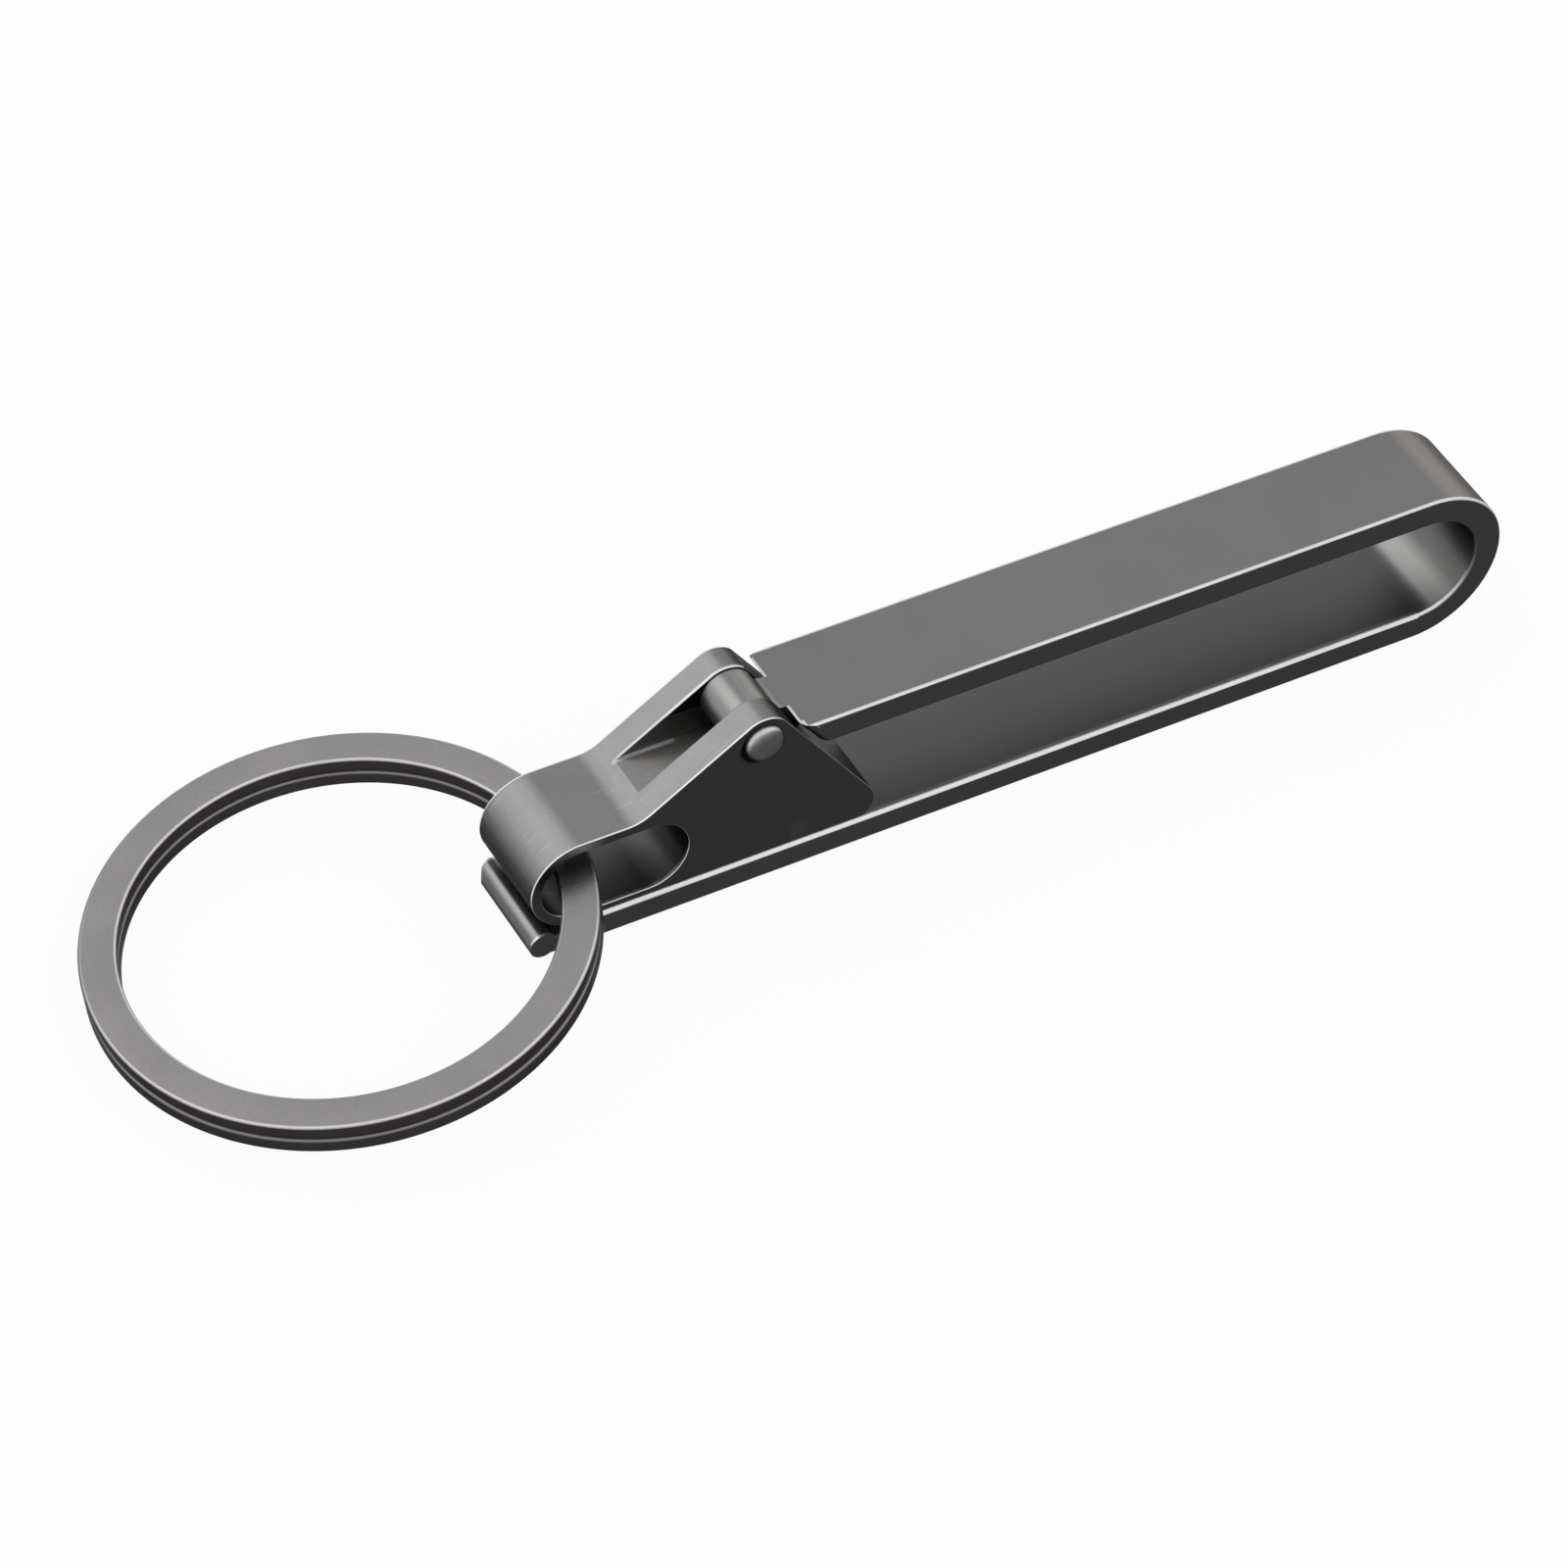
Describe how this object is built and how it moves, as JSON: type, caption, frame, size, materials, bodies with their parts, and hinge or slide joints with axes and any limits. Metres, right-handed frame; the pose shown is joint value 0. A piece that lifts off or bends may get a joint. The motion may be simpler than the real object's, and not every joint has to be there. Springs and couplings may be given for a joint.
{
  "type": "belt key clip",
  "caption": "Sprung U-shaped belt clip with a hinged latch that closes the gap and carries a flat-wire split ring for keys.",
  "frame": {"origin": "on the flat underside of the lower arm, straight below the hinge axis, in the clip's mid-plane", "axes": "+X along the arms from the hinge to the bend, +Y across the strip parallel to the hinge pin, +Z from the underside up through the upper arm"},
  "size_m": [0.1054, 0.0347, 0.0148],
  "materials": {
    "strip_titanium": "fine bead-blasted grey titanium",
    "latch_titanium": "satin grey titanium, finely brushed on the bridge",
    "pin_titanium": "satin grey titanium",
    "ring_metal": "matt tumbled grey metal with bright worn edges"
  },
  "bodies": {
    "clip_body": {"clip_body": "strip_titanium"},
    "latch": {"latch": "latch_titanium", "hinge_pin": "pin_titanium"},
    "split_ring": {"split_ring": "ring_metal"}
  },
  "joints": [
    {"name": "latch_hinge", "type": "hinge", "parent": "clip_body", "child": "latch", "pos_m": [0, 0, 0.01275], "axis": [0, 1, 0], "range_deg": [0, 110], "deforming": ["clip_body"]},
    {"name": "ring_swing", "type": "hinge", "parent": "latch", "child": "split_ring", "pos_m": [-0.01308, 0.00063, 0.00557], "axis": [0, 1, 0], "range_deg": [0, 85]}
  ]
}
